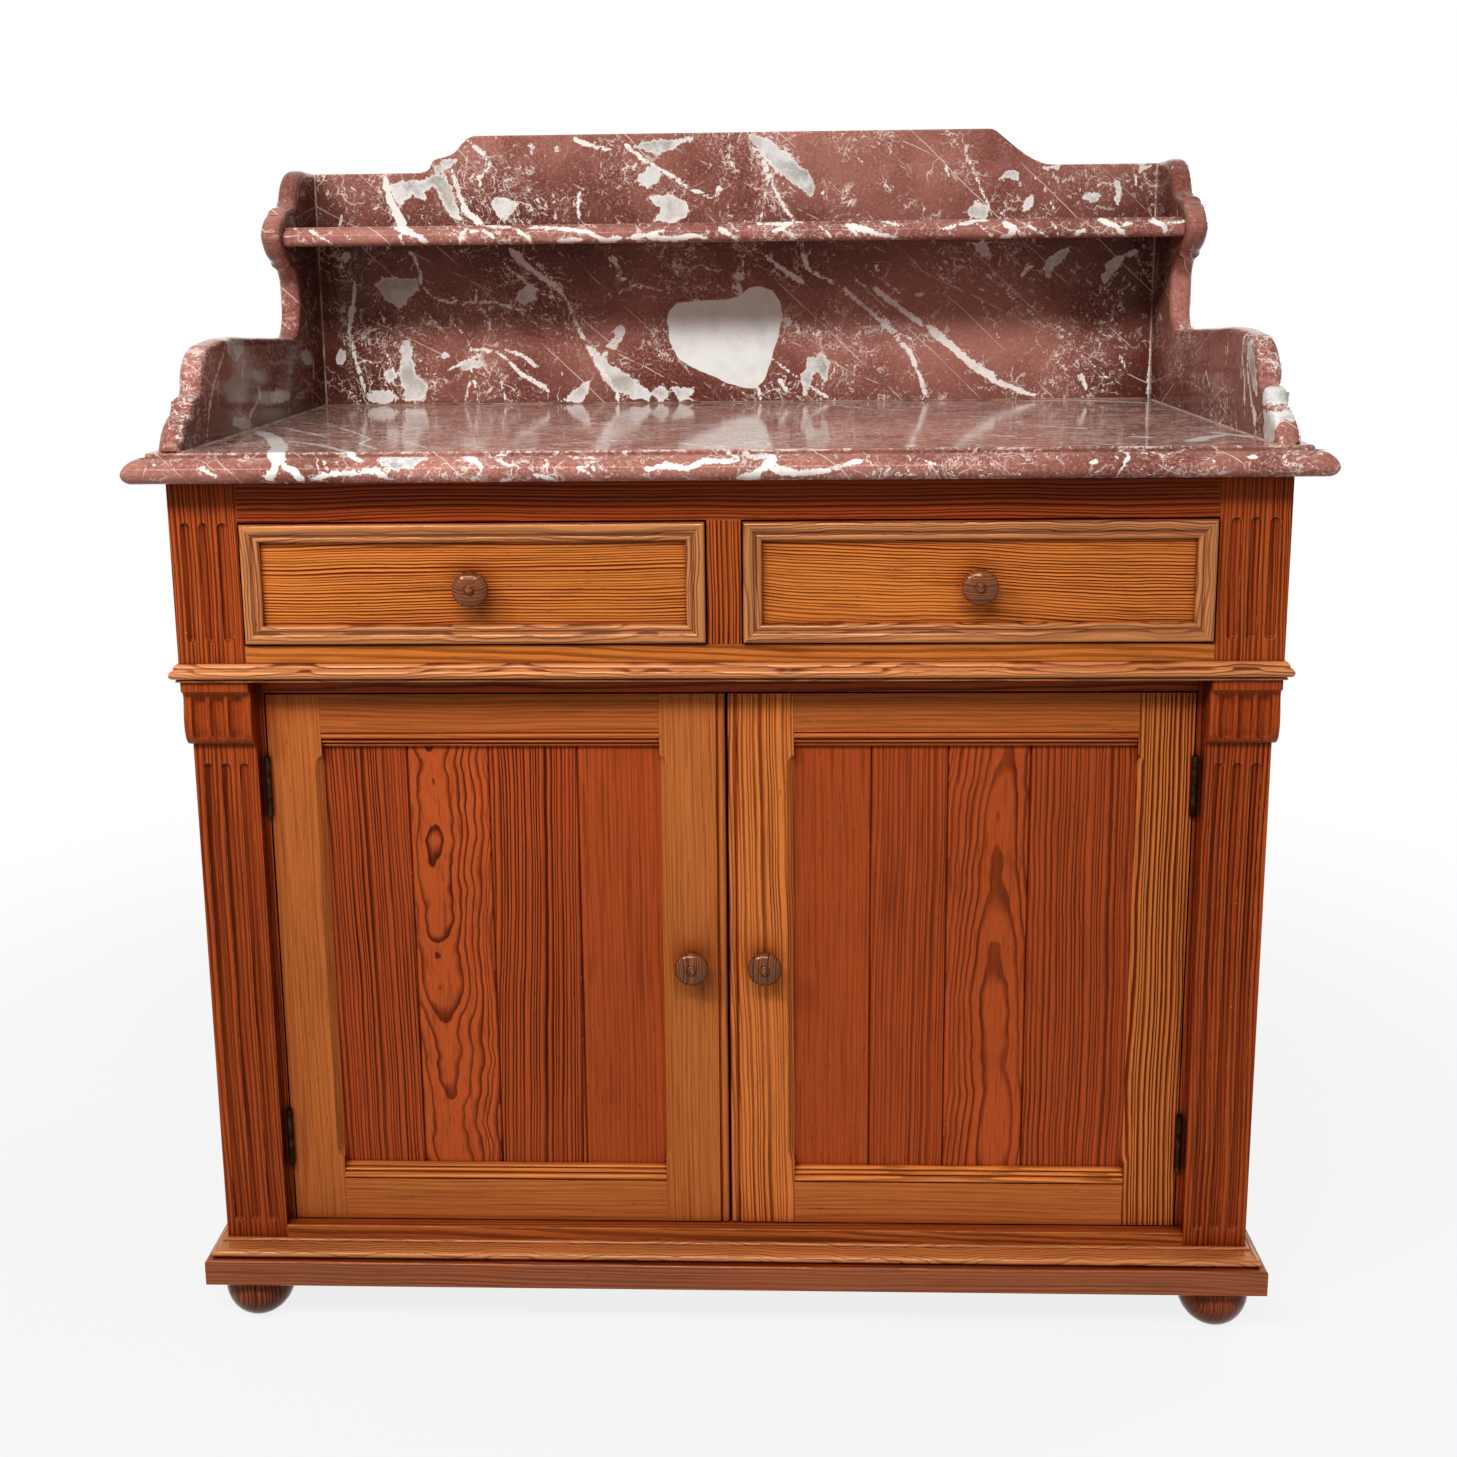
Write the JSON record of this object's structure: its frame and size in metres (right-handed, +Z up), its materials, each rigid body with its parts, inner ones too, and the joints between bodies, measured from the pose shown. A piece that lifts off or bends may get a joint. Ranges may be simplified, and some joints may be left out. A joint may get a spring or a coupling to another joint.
{
  "type": "washstand",
  "caption": "Pitch pine washstand with a red marble top, shaped marble splash panels and shelf, a row of drawers, and hinged panelled doors on a plinth with bun feet.",
  "frame": {"origin": "on the floor under the middle of the marble top", "axes": "+X to the viewer's right, +Y to the back, +Z up"},
  "size_m": [1.1, 0.56, 1.215],
  "materials": {
    "marble": "polished, white veins and grey patches on red-brown",
    "case_wood": "polished red-brown pitch pine",
    "frieze_wood": "polished dark red pitch pine",
    "moulding_wood": "polished orange-brown pitch pine",
    "foot_wood": "turned, worn polish",
    "drawer_wood": "polished orange pitch pine, fine level grain",
    "door_frame_wood": "polished tan-orange pitch pine",
    "door_panel_wood": "polished red-orange pitch pine, strong upright grain",
    "knob_wood": "turned, dark polish",
    "inner_wood": "plain unpolished pine",
    "brass": "dull aged brass",
    "steel": "plain drawn"
  },
  "bodies": {
    "stand": {"marble_top": "marble", "marble_splash_left": "marble", "marble_splash_right": "marble", "marble_backboard": "marble", "marble_shelf": "marble", "marble_pins": "steel", "upper_pilaster_left": "case_wood", "upper_pilaster_right": "case_wood", "lower_pilaster_left": "case_wood", "lower_pilaster_right": "case_wood", "corbel_left": "case_wood", "corbel_right": "case_wood", "side_board_left": "case_wood", "side_board_right": "case_wood", "frieze_rail": "frieze_wood", "drawer_rail": "case_wood", "drawer_muntin": "case_wood", "waist_board": "case_wood", "waist_moulding": "moulding_wood", "head_rail": "case_wood", "bottom_rail": "case_wood", "floor_board": "inner_wood", "back_boards": "inner_wood", "inner_shelf": "inner_wood", "case_battens": "inner_wood", "plinth_boards": "moulding_wood", "base_moulding": "moulding_wood", "corner_blocks": "inner_wood", "foot_front_left": "foot_wood", "foot_front_right": "foot_wood", "foot_back_left": "foot_wood", "foot_back_right": "foot_wood", "post_hinge_leaves": "brass", "door_catches": "brass"},
    "door_left": {"hinge_stile_left": "door_frame_wood", "meeting_stile_left": "door_frame_wood", "door_top_rail_left": "door_frame_wood", "door_bottom_rail_left": "door_frame_wood", "door_reeding_left": "door_frame_wood", "door_panel_left": "door_panel_wood", "door_knob_left": "knob_wood", "door_hinge_leaves_left": "brass"},
    "drawer_left": {"drawer_front_left": "drawer_wood", "drawer_moulding_left": "moulding_wood", "drawer_carcass_left": "inner_wood", "drawer_bottom_left": "inner_wood", "drawer_knob_left": "knob_wood"},
    "door_right": {"hinge_stile_right": "door_frame_wood", "meeting_stile_right": "door_frame_wood", "door_top_rail_right": "door_frame_wood", "door_bottom_rail_right": "door_frame_wood", "door_reeding_right": "door_frame_wood", "door_panel_right": "door_panel_wood", "door_knob_right": "knob_wood", "door_hinge_leaves_right": "brass"},
    "drawer_right": {"drawer_front_right": "drawer_wood", "drawer_moulding_right": "moulding_wood", "drawer_carcass_right": "inner_wood", "drawer_bottom_right": "inner_wood", "drawer_knob_right": "knob_wood"}
  },
  "joints": [
    {"name": "drawer_left_slide", "type": "slide", "parent": "stand", "child": "drawer_left", "axis": [0, -1, 0], "range_m": [0, 0.3]},
    {"name": "drawer_right_slide", "type": "slide", "parent": "stand", "child": "drawer_right", "axis": [0, -1, 0], "range_m": [0, 0.3]},
    {"name": "door_left_hinge", "type": "hinge", "parent": "stand", "child": "door_left", "pos_m": [-0.44825, -0.222, 0.37965], "axis": [0, 0, -1], "range_deg": [0, 100]},
    {"name": "door_right_hinge", "type": "hinge", "parent": "stand", "child": "door_right", "pos_m": [0.44825, -0.222, 0.37965], "axis": [0, 0, 1], "range_deg": [0, 100]}
  ]
}
